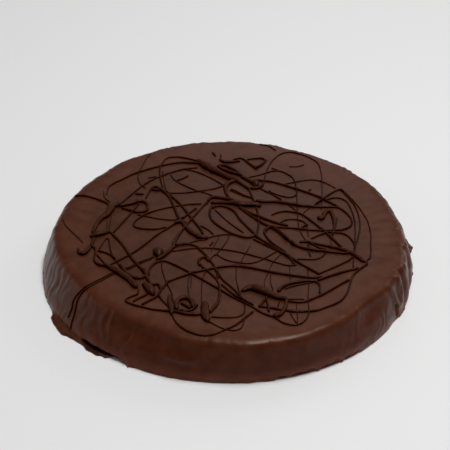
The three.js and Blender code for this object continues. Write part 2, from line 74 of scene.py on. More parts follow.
# How much further the base and the top reach than those outlines: (azimuth, push).
BASE_REACH = [
    (0, -4), (4, -3.8), (7, -1.4), (11, 0), (150, 0), (158, -2.2), (176, -2.2), (184, -1.2), (196, -0.2),
    (203, -0.5), (208, 0.3), (216, 0.3), (226, -0.6), (266, -0.7), (300, -1.2), (316, -0.8), (326, -0.7),
    (331, -1.3), (335, -0.4), (339, 0.2), (344, -1.4), (352, -0.9), (356, -0.6), (360, -4),
]
TOP_REACH = [
    (0, -1.2), (4.5, -1.5), (9, -1.8), (13.5, -2.7), (19, -1.8), (26, -1.2), (32, -0.6), (38, -0.3),
    (44, -0.3), (52, -1), (75, -1.4), (90, -1.4), (95.5, -2.6), (101, -1.4), (112, -1.5), (120, -2.3),
    (136, -2.3), (146, -3.1), (154, -2.3), (161, -0.8), (168, 0.1), (173, 0.6), (178.5, 2), (186, 1.2),
    (200, 0), (238, 0), (249, 0.6), (255, 2.6), (262, 2.6), (268, 3.2), (276, 4.8), (285, 3.6), (293, 3.2),
    (300, 1.6), (309, -0.4), (317, -1.6), (330, -1.4), (340, 0), (352, 0), (360, -1.2),
]

# Folds in the side: azimuth at the top and at the foot, half width in degrees, push outwards, and the heights
# that each runs between.
FOLDS = [
    (343, 343.5, 3.4, 1.1, 0, 31), (338.4, 335, 2.2, 0.9, 8, 31), (340.2, 339, 2.4, -1.7, 4, 31),
    (331, 334.5, 2.4, 0.8, 8, 28), (352.5, 346.5, 4.2, -1.9, 6, 31), (357.5, 356, 3, 0.3, 0, 31),
    (331.3, 333.2, 0.9, -3, 3, 13), (264.2, 265, 1, -0.4, 22, 31), (283.2, 283.6, 1, -0.25, 23, 31),
    (75, 73, 5, 1.0, 0, 31), (140, 143, 6, -1.2, 3, 31), (108, 105, 4, -0.9, 5, 28), (40, 44, 5, -1.1, 2, 31),
]

# Height over which a fold fades in and out.
FOLD_FADE = 2

# Outline of the foot: (azimuth, how far it stands out), where the coat ran out or stopped short of the floor.
FOOT = [
    (0, -0.4), (2.5, -0.4), (5, 0.9), (7.5, 2.2), (9.5, 3), (11.3, 4), (14, 2.8), (17, 3), (20, 2.5), (30, 0),
    (60, -1), (82, 0), (95, 3), (108, 0), (140, 0.5), (150, 2), (160, 0.6), (165, 1.2), (170, 0.2),
    (175, -0.4), (182, 0), (187, 0.5), (193, 0.4), (198, -0.3), (203.5, -0.8), (206.5, 0.7), (208.5, 3.6),
    (211, 5), (216.5, 5.8), (218.6, 3.4), (221, 2.5), (223.7, 2.1), (226.4, 3.2), (230.2, 3.4),
    (231.8, 1.6), (233, 1.8), (234.8, -2.6), (236.5, -2.4), (239, 0), (240.7, 0.9), (243, 0), (252, 0.5),
    (262, 0.3), (274, 0.4), (276.5, 0.9), (279, 0.3), (283, 0.8), (290, 0.8), (300, 0.7), (310, 0.6),
    (316, -0.2), (322, -1.2), (327, -1), (331, -0.6), (333, -1.2), (334.6, 0.4), (337, 0.6), (341, 0.1),
    (346, -0.6), (352, -1.1), (354.5, -0.8), (356.3, -0.1), (357.8, -0.4), (360, -0.4),
]

# Heights at which the foot begins to fall back and has done so, and the rounding of its lower edge.
FOOT_THICKNESS = 0.7
FOOT_TOP = 1.4
EDGE_ROUND = 0.5

# The hollow above the foot, where the coat hangs clear of it: (azimuth, push outwards), between two heights.
HOLLOW = [(0, 0), (222.6, 0), (224.2, -7), (229, -7), (234, -4), (238.5, 0), (360, 0)]
HOLLOW_DEPTH = 7
HOLLOW_FLOOR = (0.9, 1.4)
HOLLOW_ROOF = (3, 3.5)

# Chipped lower edge of the coat: (azimuth, half width in degrees, height of the chip).
CHIPS = [
    (286, 3, 3.2), (291, 4, 4), (295, 2.5, 5), (300, 3.5, 3.8), (303.5, 2.2, 6.2), (308, 3, 3.6),
    (311.5, 2.2, 4.5), (60, 6, 4), (66, 3, 5),
]

# Depth of a chip, and the height over which its edge slopes.
CHIP_DEPTH = 0.9
CHIP_EDGE = 0.7

# Lumps and dents in the side: azimuth, height, half length along the side, half height and push outwards.
LUMPS = [
    (10.8, 2.5, 3, 3, 2), (353.5, 6.5, 2.6, 2.6, 0.8), (333.6, 2.6, 2, 2, 0.3),
    (240.7, 1.4, 1.6, 1.6, 1.2), (203, 2, 32, 9, 1.5), (222, 3, 42, 10, 1.3), (128, 5, 2.5, 2.5, 1.6),
    (88, 4, 2.2, 2.2, 1.4),
    (243, 23.5, 46, 10, -1.8), (256, 15, 16, 4, 0.9), (259, 10, 14, 5, -0.6), (231, 12, 12, 6, 0.6),
    (297, 14, 20, 6, -0.5), (312, 9, 16, 6, 0.5), (320, 24.5, 26, 11, -1.9), (170, 12, 20, 8, 0.7),
    (100, 16, 24, 8, -0.8), (45, 10, 20, 7, 0.7),
]

# Ripples that the coat set into as it ran: (azimuth, depth) on the side and on the rim of the top. Below
# them, the distances along the coat at which each kind begins and is whole.
SIDE_RIPPLES = [
    (0, 0.2), (60, 0.15), (130, 0.15), (165, 0.1), (190, 0.1), (205, 0.13), (225, 0.14), (240, 0.1),
    (265, 0.06), (300, 0.05), (325, 0.08), (338, 0.18), (360, 0.2),
]
RIM_RIPPLES = [
    (0, 0.08), (20, 0.04), (60, 0.02), (150, 0.02), (180, 0.03), (210, 0.02), (250, 0.03), (300, 0.05),
    (322, 0.08), (335, 0.12), (352, 0.12), (360, 0.08),
]
SIDE_RIPPLES_FROM = (112, 124)
RIM_RIPPLES_FROM = (88, 106)

# Share of the finer ripples, how far the ripples sway to each side in degrees, and depth of the top's waves.
FINE_SHARE = 0.1
WOBBLE = 0.9
TOP_WAVE_DEPTH = 0.05

# Threads of the drizzle: the width along each, from start to end, and the points of the plan that it
# passes over.
SWEEPS = [
    ([1.1, 1.5, 1.7], [(-88, 42), (-88, 47), (-86.5, 53), (-80, 60), (-70, 69.5), (-40, 85), (-24, 85)]),
    ([1.2], [(-46, 46), (-48.5, 52), (-51.5, 79), (-47, 91), (-41, 93), (-34, 92), (-25, 88.5)]),
    ([1.4, 1.2, 1.7, 1.8], [(-110, 40), (-104, 39.5), (-86.5, 29.5), (-85, 26)]),
    ([1.2], [(-21, 32), (-33, 30), (-52, 22.5), (-60, 16.5), (-65.5, 9.5), (-67, 4), (-64, 0.5),
        (-51, -0.5), (-45, 2)]),
    ([1.6, 1.2], [(-53.5, -54), (-53, -47), (-50.5, -41.5), (-46.5, -38.5), (-42, -39), (-7, -68),
        (2, -76.5), (14, -86), (22, -93.5), (31, -98.5)]),
    ([1.2, 1.2, 0.9], [(31, -98.5), (35, -103.5), (42, -106), (47, -104.5), (51, -99), (53, -91)]),
    ([1.4, 1.9, 1.9, 1.6], [(-41.5, -62.5), (-25, -51.5), (-14, -47), (-8, -44.5), (6, -42.5), (30, -49),
        (50, -53.5), (58, -54), (62, -53)]),
    ([1.3], [(-46, -76), (-44, -81), (-38, -91), (-35, -102), (-26, -113.5), (-13, -117.5), (-1, -112),
        (10, -101), (16, -93)]),
    ([1.4, 1.4, 1.6, 2.6], [(-59.5, -71), (-60, -76), (-64, -79), (-67.5, -83), (-65, -86), (-49, -92.5),
        (-34, -94.5), (-28, -96.5), (-22, -97), (-17, -96)]),
    ([1.4], [(21, -87), (42, -91.5), (58, -90), (71, -82), (76, -76), (79, -69), (83, -52), (87, -45),
        (92, -39), (93.5, -36)]),
    ([1.5], [(38, -80.5), (44, -81.5), (50, -81), (66, -69.5), (80, -56)]),
    ([2.4, 1.8, 1.3], [(33, -70), (35, -66.5), (40, -62), (53, -58), (58, -58.5), (60.5, -61.5),
        (60.5, -71)]),
    ([1.6], [(17.5, 64.5), (22, 63.5), (30, 62), (62, 44.5), (67, 40), (76, 32)]),
    ([1.2], [(61, 34.5), (65, 39), (70, 46), (79, 53.5), (83, 46), (89, 31), (91, 8), (86, -20)]),
    ([2.4, 2.2, 1.4, 1.4], [(18.5, 36.5), (25, 36), (33, 36), (50, 32), (60, 30.5), (75, 30.5), (79, 28),
        (85, 17), (85.5, 12)]),
    ([1.4], [(85.5, 12), (84.5, 8), (81, 4.5), (76, 2.5), (60, 1.5), (40, 4), (30, 4.5)]),
    ([1.2, 1.3, 1.8, 1.8], [(30, 20), (34, 23), (40, 24.5), (46, 23), (50, 21.5), (69, -4.5),
        (76.5, -17.5)]),
    ([1.7], [(-13, 29), (-14, 24), (-14, 18), (-12, 11), (0, -3), (10, -8.5), (14, -8.5), (18, -6.5)]),
    ([1.6, 1.3], [(18, -6.5), (19.5, 0), (20, 18), (15, 45), (13, 52)]),
    ([1.6], [(-12, 27), (-10, 29), (-6, 29.5), (2, 24.5), (8, 11.5), (16.5, -2.5)]),
    ([1.2], [(57, -8), (68, -1), (80, -2.5), (86, -15), (83, -31), (76, -38), (62, -48.5)]),
]
THROWS = [
    ([1.2, 1.8, 2.4, 1.7, 1.8, 2.2, 3.2, 3.6], [(-60, 38), (-56, 51), (-54, 52.5), (-45, 43), (-35, 12),
        (-27, -3), (-23, -7.5)]),
    ([1.7], [(-46, 46), (-36, 32), (-27, 14), (-20, 0), (-18.5, -4.5)]),
    ([1.3], [(-80, -43.5), (-66.5, -30.5), (-58, -19.5), (-50, -7.5), (-37, 8), (-24, 26)]),
    ([1.5, 1.5, 1.5, 2.8, 2.6], [(-16, 34), (-20, 27), (-36.5, -11), (-38, -17), (-38.5, -22),
        (-44, -31.5), (-48.5, -36.5)]),
    ([1.5], [(-64.5, 31), (-69.5, 18.5), (-80, -5)]),
    ([1.8], [(-82, -6), (-74, -18.5), (-64.5, -38.5), (-56, -52)]),
    ([1.5], [(-38, -20), (-29, -18), (-25, -19), (-21, -22.5), (-10, -43), (-7, -56)]),
    ([1.4, 1.5, 2.6], [(-19.5, -41), (-17, -45.5), (-14, -49), (-7, -61), (-6.5, -82), (-11.5, -94)]),
    ([1.4], [(-7.5, -50), (-4, -58), (5, -71), (10, -81)]),
    ([1.3], [(-4.5, -64), (5, -76), (16, -85)]),
    ([1.9], [(7, 29), (13, 22.5), (35, 8.5), (40, 7)]),
    ([1.5, 1.6, 2.4, 2.6], [(7, 27), (22, 10), (32, 1.5), (39, -8.5), (45, -15.5)]),
    ([1.7], [(18, -6.5), (23, -12), (42, -31), (48, -38), (60.5, -49.5)]),
    ([1.6], [(24.5, 2), (24.5, -4), (29, -14), (38, -24.5)]),
    ([1.2, 1.2, 1.8], [(17, -11), (41, -31.5), (44, -38.5)]),
    ([1.8], [(60, -56.5), (72, -49.5), (87, -42.5)]),
    ([1.8, 1.8, 2.6, 2.6], [(49, -13), (53, -12.5), (57, -14), (80, -22.5), (88, -30), (91.5, -34.5)]),
    ([2.6, 2, 1.8], [(43, -14.5), (47, -18), (53, -21), (66, -23.5), (78, -25.5), (83, -25)]),
    ([1.3], [(55, -13.5), (63, -20.5), (66, -22.5)]),
]
HOOKS = [
    ([1.6, 1.8, 2, 2.4, 2.8, 3.2, 3.2], [(-76, 24.5), (-66, 20), (-61, 20.5), (-58.5, 23), (-59, 31),
        (-62, 33.5), (-65, 33.5), (-69, 31), (-78, 27)]),
    ([2.6, 2.4, 2.6, 3.4, 3, 1.8], [(-93.5, -13), (-94, -19), (-99.5, -32), (-102, -30.5), (-103, -26)]),
    ([2.2, 1.8, 1.6, 2, 2.6, 2.4], [(-95, -22.5), (-92, -24.5), (-91, -28.5), (-91.5, -36), (-90, -41.5),
        (-87, -44.5), (-83, -45)]),
    ([1.8, 2.6, 2.8, 2.4], [(-73, -44), (-70.5, -50), (-63, -58), (-58.5, -58), (-56, -56)]),
    ([2.2, 2.4, 1.6, 1.4], [(-57.5, -49.5), (-55.5, -53.5), (-54.5, -58), (-50.5, -68)]),
    ([2.8], [(-38.5, -77), (-38.5, -84), (-36.5, -97)]),
    ([3.4], [(-33.5, -92), (-34, -86), (-32.5, -81.5), (-29, -79.5), (-25.5, -80.5), (-23.5, -84),
        (-23, -89)]),
    ([1.8], [(-30.5, -85.5), (-25, -90)]),
    ([2], [(-31, -93), (-27, -93.5), (-23, -91.5), (-20.5, -87)]),
    ([1.7], [(-20, -42), (-20.5, -37), (-18.5, -33.5), (-15.5, -34), (-14, -37)]),
    ([2.4], [(38, -78), (38, -84), (34.5, -94.5), (30, -97.5)]),
    ([1.7], [(26, -76), (23, -82), (20.5, -87)]),
    ([1.5], [(25, -79), (26, -85), (26.5, -91.5)]),
    ([3.2, 3, 2.8, 2, 1.5], [(62.5, 18), (63.5, 15.5), (65.5, 17.5), (66.5, 22), (68.5, 25),
        (70.5, 25.5), (72, 22.5), (73, 9), (71.5, -3)]),
    ([1.7], [(25.5, 0.5), (27, 3.5), (30, 3.5), (40, -10.5)]),
    ([3.4, 3.2, 2, 1.8], [(4, 62.5), (0, 60), (-3, 56), (-3.5, 50), (0, 38.5), (4, 33)]),
    ([2.6, 3.2, 2.8], [(8, 68), (11.5, 65), (18, 58)]),
    ([2.2], [(23.5, 60.5), (22.5, 56.5), (19.5, 53.5), (15, 53)]),
    ([2.6, 2.2], [(3, 63.5), (8, 58.5), (13, 52.5)]),
    ([1.6, 2.4, 1.3], [(-8, 90.5), (-5, 87.5), (6, 89)]),
    ([1.2, 1.6, 2.2], [(2, 91), (6.5, 93), (9.5, 91.5), (12, 88), (18.5, 79.5)]),
    ([2.2, 1.6], [(18.5, 80), (24, 87), (26, 91)]),
    ([1.2, 1.5], [(12.5, 91.5), (18, 93), (23.5, 93), (24.5, 91.5)]),
    ([1.8], [(-56, -87), (-47, -77.5), (-45, -72), (-41, -63)]),
    ([1.7], [(-62, -84), (-57.5, -79.5), (-53, -75)]),
    ([2], [(-50, -66.5), (-48, -64.5), (-46, -66), (-45, -70)]),
    ([1.8, 2.6, 1.6], [(-38, 6.5), (-35, 8.5), (-31, 7.5)]),
]
DROPS = [
    ([3.8, 6, 6, 5.2, 4, 2.6], [(-24.5, 88), (-13, 76), (1, 64.5), (6, 61.5)]),
    ([2.6, 5, 4.6, 3.4, 2.2], [(-77, 28.5), (-82, 26.5), (-86.5, 15), (-90, 10.5), (-92.5, 4),
        (-94.5, -6)]),
    ([3.4, 4.8, 4.2, 2.6], [(-95.5, -11), (-87, -7), (-83.5, -5)]),
    ([2.6, 4.8, 4.8, 3.8], [(-84, -44.5), (-77.5, -49.5), (-66, -61), (-61, -69)]),
    ([3.2, 4, 3.2], [(-23, -7.5), (-19.5, -10), (-15.5, -10)]),
    ([3.5, 7, 4], [(-51, -25), (-48.5, -28.5), (-47.5, -33.5)]),
    ([2.8, 5.5, 6, 3], [(-56.5, -64.5), (-53.5, -68.5), (-49.5, -76.5)]),
    ([2.8, 6, 6, 3.4], [(-15.5, -84), (-14.5, -99), (-12.5, -104)]),
    ([2, 4.8, 6.4, 5.2, 3.8, 2.4], [(9, -70.5), (15, -67.5), (21, -69.5), (33, -77.5), (38, -79)]),
    ([2, 2.2, 3.4, 5, 4.8, 3.2], [(-13, 33.5), (1, 33), (8, 31.5), (15, 31.5), (21.5, 30.5)]),
    ([2.2, 2.4, 2.2], [(-15.5, 36), (-14, 39.5), (-11, 40.5), (-2, 38), (2.5, 34.5)]),
    ([4.4, 5, 3.2], [(16, 61), (18.5, 58), (17.5, 55.5)]),
    ([1.8, 2.4, 2.4, 2], [(-9.5, 81), (-6.5, 83), (3.5, 76), (7.5, 70.5)]),
    ([1.8, 2.6, 2.6, 2], [(-9, 80.5), (-6, 77.5), (8, 69.5)]),
]

# The finest threads, too thin to be worth a place in the solid.
FINE = [
    ([1.1], [(-76.5, 32), (-63, 54), (-55, 63), (-36, 76), (-25, 79)]),
    ([1], [(68, 39.5), (72, 42), (76, 43), (80, 41.5), (83, 38), (87, 20), (87.5, 5), (84, -40)]),
    ([0.9], [(81, 52), (85, 45), (96, 17), (97, -22), (93.5, -36)]),
    ([0.8, 0.6], [(53, -91), (53.5, -60), (53, -45)]),
    ([0.7], [(-59.5, 98), (-62, 91), (-65, 79), (-67, 70), (-65, 56), (-61, 51)]),
    ([0.7], [(-49.5, 73), (-48, 60), (-46.5, 51)]),
    ([0.8], [(-90.5, 46), (-90, 40), (-88.5, 36), (-85.5, 32.5)]),
    ([0.8], [(-64, 16.5), (-46, 11.5), (-38, 11.5), (-33, 14)]),
    ([1], [(-19.5, 4), (-15.5, 0.5), (-11.5, -5)]),
    ([1], [(-88.5, -25), (-84, -12.5), (-80, -30), (-72, -48)]),
    ([1.4], [(-89, -28), (-85, -29.5), (-80.5, -32.5), (-77.5, -36.5)]),
    ([1.3], [(-89.5, -33), (-86.5, -38), (-83.5, -43)]),
    ([0.7], [(-83, 14), (-83.5, 5), (-83.5, -3)]),
    ([0.6], [(-85.5, 8), (-85, -3)]),
    ([0.8], [(-45.5, -39), (-45, -47), (-41.5, -62), (-37.5, -74), (-36, -84)]),
    ([0.7], [(6.2, -66), (8.8, -77.5), (10.8, -87)]),
    ([0.7], [(-26, -53), (-27, -62), (-26, -78)]),
    ([0.6], [(-25, -55), (-25, -67)]),
    ([0.7], [(-15, -48), (-17.5, -58), (-17.5, -86)]),
    ([0.9], [(-10, -99), (0, -99.5), (7, -98), (10.5, -94), (11, -86)]),
    ([0.8], [(-11, -105), (-1, -112), (4, -113), (8, -111), (11, -99)]),
    ([0.8], [(38, -67), (43, -64), (55, -59.5)]),
    ([0.9], [(34, -79), (33, -84), (32, -89.5)]),
    ([0.7], [(40, -91), (42, -98), (44.5, -103.5)]),
    ([0.6], [(45, -81), (45, -92), (45, -103.5)]),
    ([0.9, 0.9, 0.6], [(24.5, 66), (28, 84), (35, 98), (40, 102), (46, 102.5), (63, 90), (66, 60),
        (64.5, 28)]),
    ([0.8, 1, 0.8, 0.7], [(14, 68), (20, 70.5), (34, 77), (42, 72), (46, 65.5), (48.5, 3), (52, -9)]),
    ([0.7], [(40, 60), (54, 65), (61, 65.5), (69, 61.5), (75, 56)]),
    ([0.8], [(75.5, 18), (74.5, 10), (73, 1)]),
    ([0.5], [(70, -5), (70, -15)]),
    ([0.9], [(36, 11), (40, 14), (46, 14.5), (51, 12.5), (53.5, 9), (54.5, -5)]),
    ([1.5], [(50.5, 4.5), (52, 6.5), (54, 8)]),
    ([0.8], [(41, 33), (45, 28), (47, 24)]),
    ([0.7], [(51, 18), (52, 23), (66, 40)]),
    ([0.9], [(-10, 24), (-1, 10), (9, -2)]),
    ([0.9], [(45, -40), (40, -40.5), (20, -31.5), (3, -25), (-15, -22), (-28, -23.5), (-38, -26.5)]),
    ([0.8], [(-12.5, -34.5), (-9, -29.5), (-5, -33), (0, -36.5), (13, -39), (19, -37), (33, -24)]),
    ([0.7], [(-9, -30), (-2, -14), (0, -6)]),
    ([0.6], [(-12, -25), (-8, -11), (-7, -7)]),
    ([1.2], [(-13, -18.5), (-11.5, -15.5)]),
    ([0.8], [(-14, -9.5), (-9, -7), (-3, -5.5), (1, -5.5)]),
    ([0.9], [(-16, -12), (-22, -13.5), (-38, -22.5)]),
    ([0.6], [(27, -47), (30, -37), (35, -28)]),
    ([0.7], [(28, -52), (28, -60), (29.5, -68)]),
    ([0.6], [(26, -51), (24, -58), (24, -66)]),
    ([0.7], [(5, -45), (5, -56), (6.5, -68)]),
    ([0.6], [(41, -42), (41, -57)]),
    ([0.6], [(14, -19), (10, -31), (7.5, -40)]),
    ([0.9], [(47, -33), (58, -33), (62, -31), (67, -24)]),
    ([1.1], [(54, -16), (55, -20), (54.5, -25), (55.5, -29)]),
    ([0.9], [(1, 51.5), (5, 48.5), (15, 40)]),
    ([0.8], [(0, 50), (10, 43), (15.5, 41)]),
    ([1], [(22, 52.5), (30, 45.5), (36, 39.5)]),
    ([0.9], [(28, 50), (31, 47), (41, 42.5), (45, 43.5), (47.5, 46.5), (47.5, 51)]),
    ([0.8], [(-43, 68), (-41.5, 64), (-38, 59.5), (-26, 50), (-18, 46), (-11, 41.5)]),
    ([0.9], [(-33, 76.5), (-24, 73), (-14, 65.5), (-5, 56.5)]),
    ([0.9], [(-44, 45), (-34, 45.5), (-11, 52), (-5, 56)]),
    ([1.2], [(-38, 62), (-35, 64), (-31, 68)]),
    ([1.5], [(-13.5, 100), (-11.5, 96)]),
    ([1], [(-7.5, 97.5), (-7.5, 94)]),
    ([0.7], [(43.5, 83), (48, 83), (53, 85.5)]),
    ([0.8], [(30.5, 80), (34, 78)]),
    ([2], [(-55.5, 48.5), (-51.5, 48)]),
    ([1.4], [(-67, 43), (-62.5, 43)]),
    ([0.9], [(-59, 64.5), (-54.5, 66)]),
    ([1.2], [(56.5, 52), (57.5, 53)]),
    ([0.8], [(40, -78.5), (49, -78)]),
]

# Threads that run over the edge: the width, and places (u, v).
OVER = [
    ([0.82], [(22, 115), (28, 112), (33, 107)]),
    ([0.82], [(-118, 12), (-113, 1), (-101.5, -17.5)]),
    ([0.9], [(-52, -34), (-60, -39.5), (-66, -45), (-77.5, -52.5), (-86.5, -60.5), (-93, -66), (-97.5, -69.5),
        (-102.5, -71), (-107, -72), (-110.5, -74.5), (-112, -77.5), (-115.5, -79.5), (-117.5, -81)]),
    ([0.9], [(-53, -36), (-60, -41.5), (-67, -47.5), (-78.5, -55.5), (-86.5, -63), (-93, -68.5), (-96.5, -71),
        (-100.5, -72.5), (-104.5, -74.5), (-107, -76.5), (-109.5, -80.5), (-115, -86.5), (-117, -89.5)]),
]

# A thread of unit width stands THREAD_RISE high, and wider ones sag. It is set a little into the coat, and
# lies over those below it. THREAD_STEP is the distance between its stations, and each end runs on past its
# last point by END_REACH.
THREAD_RISE = 0.95
THREAD_SAG = 0.75
THREAD_SINK = 0.4
THREAD_STEP = 1.0
END_REACH = 0.9
THREAD_DRAPE = 0.75

# Beads along a thread: how much its width varies, how often, and how unlike those of the next thread.
BEAD_DEPTH = 0.24
BEAD_PITCH = 0.22
BEAD_SPREAD = 7.3

# The ends of a thread are rounded, over this share of its width, and are not quite a point.
TIP_SHARE = 0.6
TIP_START = 0.3

# Places across a thread where what lies below is felt and where its own height is noted, and the number of
# stations that its drape is evened over.
FEEL_ACROSS = (-0.3, 0, 0.3)
NOTE_ACROSS = np.linspace(-0.5, 0.5, 9)
DRAPE_STATIONS = 5

# Section of a thread, as shares of its width across and of its rise above the coat.
THREAD_SECTION = [(-0.38, -1), (-0.47, 0.15), (-0.5, 0.42), (-0.42, 0.72), (-0.24, 0.93), (0, 1),
                  (0.24, 0.93), (0.42, 0.72), (0.5, 0.42), (0.47, 0.15), (0.38, -1)]

# Tints of the coat, as where each begins and is whole. It is paler outside the drizzle, where a greyer tint
# paints in the rim's sheen; redder on the side, which offsets part of the floor's grey reflection there;
# palest towards the foot, a painted glow of light bounced up from the floor; dark where the foot runs out, as
# painted shade; and almost black in the hollow, a painted shadow.
BARE_SHEEN_FROM = (80, 108)
SIDE_FROM = (117, 126)
FLOOR_BOUNCE_TO = (1, 10.5)
LIP_SHADE_FROM = (1, 3)
HOLLOW_SHADE_FROM = (0.7, 1)

# A thread is painted paler along the crest of its thicker stretches, as light on its top, against flanks
# painted darker as shade: rise of the thread, and height in its section.
LIT_CREST_FROM = (1.1, 2.2)
CROWN_FROM = (0.5, 0.95)

# Browns of the chocolate, each a pair between which the patches of a surface lie.
COAT_BROWNS = [(0.038, 0.0113, 0.0048), (0.056, 0.0177, 0.0080)]
# Outside the drizzle: paler, and greyer as a painted sheen.
BARE_SHEEN_BROWNS = [(0.054, 0.0161, 0.0078), (0.071, 0.0224, 0.0116)]
# On the side: redder, which offsets part of the floor's grey reflection there.
SIDE_BROWNS = [(0.054, 0.0138, 0.0066), (0.0715, 0.0194, 0.0100)]
# Towards the foot: a painted glow of light bounced up from the floor.
FLOOR_BOUNCE_BROWNS = [(0.098, 0.0270, 0.0140), (0.126, 0.0370, 0.0205)]
WORN_BROWNS = [(0.18, 0.063, 0.033), (0.28, 0.1, 0.053)]
# In the hollow: a painted shadow.
HOLLOW_SHADE_BROWNS = [(0.004, 0.0013, 0.0007), (0.006, 0.002, 0.001)]
# The threads: darker as painted shade on their flanks, and paler along the crest as painted light.
SHADED_THREAD_BROWNS = [(0.0195, 0.0053, 0.0022), (0.0255, 0.0072, 0.0031)]
LIT_CREST_BROWNS = [(0.032, 0.0098, 0.0046), (0.040, 0.0126, 0.0062)]
COAT_TINTS = [
    ("bare_sheen", BARE_SHEEN_BROWNS),
    ("side", SIDE_BROWNS),
    ("low", FLOOR_BOUNCE_BROWNS),
    ("worn", WORN_BROWNS),
    ("hollow_shade", HOLLOW_SHADE_BROWNS),
]
THREAD_TINTS = [("lit_crest", LIT_CREST_BROWNS)]

# Satin gloss of set chocolate: roughness and strength on the coat and on the drizzle, how far the roughness
# varies, and a warm tint.
COAT_ROUGHNESS = 0.33
COAT_GLOSS = 0.2
THREAD_ROUGHNESS = 0.4
THREAD_GLOSS = 0.1
ROUGHNESS_SPREAD = 0.08
GLOSS_TINT = (1, 0.82, 0.7, 1)
REFRACTION = 1.45

# Patches of brown, and a grain too fine to be modelled.
PATCH_SCALE = 110
PATCH_DETAIL = 4
PATCH_EDGES = (0.35, 0.65)
GRAIN_SCALE = 900
GRAIN_DETAIL = 3
GRAIN_STRENGTH = 0.15
GRAIN_DEPTH = 0.0004

# Sockets of a node that mixes two colours.
MIX_SHARE, MIX_FROM, MIX_TO = 0, 6, 7
MIX_RESULT = 2

# Rounds in which a point of the plan is carried to its place on the coat.
PLACE_STEPS = 8

# Fineness of the curves, of the section and of the normals.
SPAN_SAMPLES = 24
SECTION_STEP = 0.3
NORMAL_STEP = 0.4

# Fineness of the coat's mesh, whose rings are closer where the coat bends, and of the map of how high the
# threads already lie. One ring of the underside lies at this share of the way out to the foot.
COLUMNS = 900
RING_STEPS = [(0, 3), (92, 1.3), (114, 0.6), (141, 0.3)]
UNDERSIDE_RING = 0.5
MAP_HALF = 150
MAP_PITCH = 0.5


def curve_through(points, step):
    """A smooth curve through points, sampled every step or so: centripetal, so that it doesn't overshoot."""
    p = np.asarray(points, float)
    p = np.vstack([2 * p[0] - p[1], p, 2 * p[-1] - p[-2]])
    knots = np.sqrt(np.linalg.norm(np.diff(p, axis=0), axis=1))
    t = np.linspace(0, 1, SPAN_SAMPLES, endpoint=False)[:, None]
    spans = []
    for i in range(1, len(p) - 2):
        before, here, after = knots[i - 1:i + 2]
        chord = (p[i + 1] - p[i]) / here
        start = (p[i] - p[i - 1]) / before - (p[i + 1] - p[i - 1]) / (before + here) + chord
        end = chord - (p[i + 2] - p[i]) / (here + after) + (p[i + 2] - p[i + 1]) / after
        spans.append(
            (1 + 2 * t) * (1 - t) ** 2 * p[i]
            + t * (1 - t) ** 2 * start * here
            + t ** 2 * (3 - 2 * t) * p[i + 1]
            + t ** 2 * (t - 1) * end * here
        )
    line = np.vstack(spans + [p[-2:-1]])
    length = np.concatenate([[0], np.cumsum(np.linalg.norm(np.diff(line, axis=0), axis=1))])
    stations = np.linspace(0, length[-1], max(3, round(length[-1] / step) + 1))
    return np.column_stack([np.interp(stations, length, line[:, k]) for k in range(line.shape[1])])


def smooth(value, low, high):
    """0 below low, 1 above high, and an even rise between them."""
    share = np.clip((value - low) / (high - low), 0, 1)
    return share * share * (3 - 2 * share)


def swell(waves, azimuth):
    """Sum of an outline's waves at an azimuth in degrees."""
    return sum(depth * np.cos(np.radians(lobes * (azimuth - peak))) for lobes, depth, peak in waves)


def humps(bumps, azimuth):
    """Sum of the local bumps at an azimuth: each is a rounded hump that ends half degrees from its middle."""
    total = 0
    for at, half, push in bumps:
        turn = np.abs((azimuth - at + 180) % 360 - 180)
        total = total + push * np.cos(np.clip(turn / half, 0, 1) * math.pi / 2) ** 2
    return total


def around(points, azimuth):
    """A value that eases from point to point of a list of (azimuth, value) round the cake."""
    at = np.array([p[0] for p in points], float)
    values = np.array([p[1] for p in points], float)
    turn = np.mod(azimuth, 360)
    after = np.clip(np.searchsorted(at, turn, side="right"), 1, len(at) - 1)
    share = smooth(turn, at[after - 1], at[after])
    return values[after - 1] + (values[after] - values[after - 1]) * share


def folds(azimuth, z):
    """Push of the leaning folds at an azimuth and height."""
    total = 0
    for high, low, half, out, start, end in FOLDS:
        middle = low + (high - low) * z / HEIGHT
        turn = np.abs((azimuth - middle + 180) % 360 - 180)
        begun = smooth(z, start - FOLD_FADE, start + FOLD_FADE)
        ended = smooth(z, end - FOLD_FADE, end + FOLD_FADE)
        share = begun * (1 - ended)
        total = total + out * share * np.cos(np.clip(turn / half, 0, 1) * math.pi / 2) ** 2
    return total


def lumps(azimuth, z):
    """Push of the lumps and dents at an azimuth and height."""
    total = 0
    for at, height, half_length, half_height, out in LUMPS:
        along = np.radians((azimuth - at + 180) % 360 - 180) * BASE_RADIUS
        away = np.hypot(along / half_length, (z - height) / half_height)
        total = total + out * np.cos(np.clip(away, 0, 1) * math.pi / 2) ** 2
    return total


def random_waves(seed, count, lobes, wander):
    """Seeded waves round the cake, whose crests run outwards and down the side and wander as they go."""
    draw = np.random.default_rng(seed)
    return list(zip(
        draw.integers(*lobes, count).tolist(),
        draw.uniform(-wander, wander, count).tolist(),
        draw.uniform(0, 2 * math.pi, count).tolist(),
    ))


BROAD_RIPPLES = random_waves(seed=11, count=40, lobes=(18, 120), wander=0.26)
FINE_RIPPLES = random_waves(seed=12, count=24, lobes=(100, 200), wander=0.35)
WOBBLES = random_waves(seed=15, count=10, lobes=(10, 40), wander=0.35)
RIM_WAVES = random_waves(seed=14, count=30, lobes=(18, 84), wander=0.16)
TOP_WAVES = random_waves(seed=13, count=10, lobes=(1, 9), wander=0.35)


def wave_height(waves, azimuth, run):
    """Sum of seeded waves, of about unit depth."""
    total = 0
    for lobes, wander, phase in waves:
        total = total + np.cos(np.radians(lobes * azimuth) + wander * run + phase)
    return total / math.sqrt(len(waves) / 2)


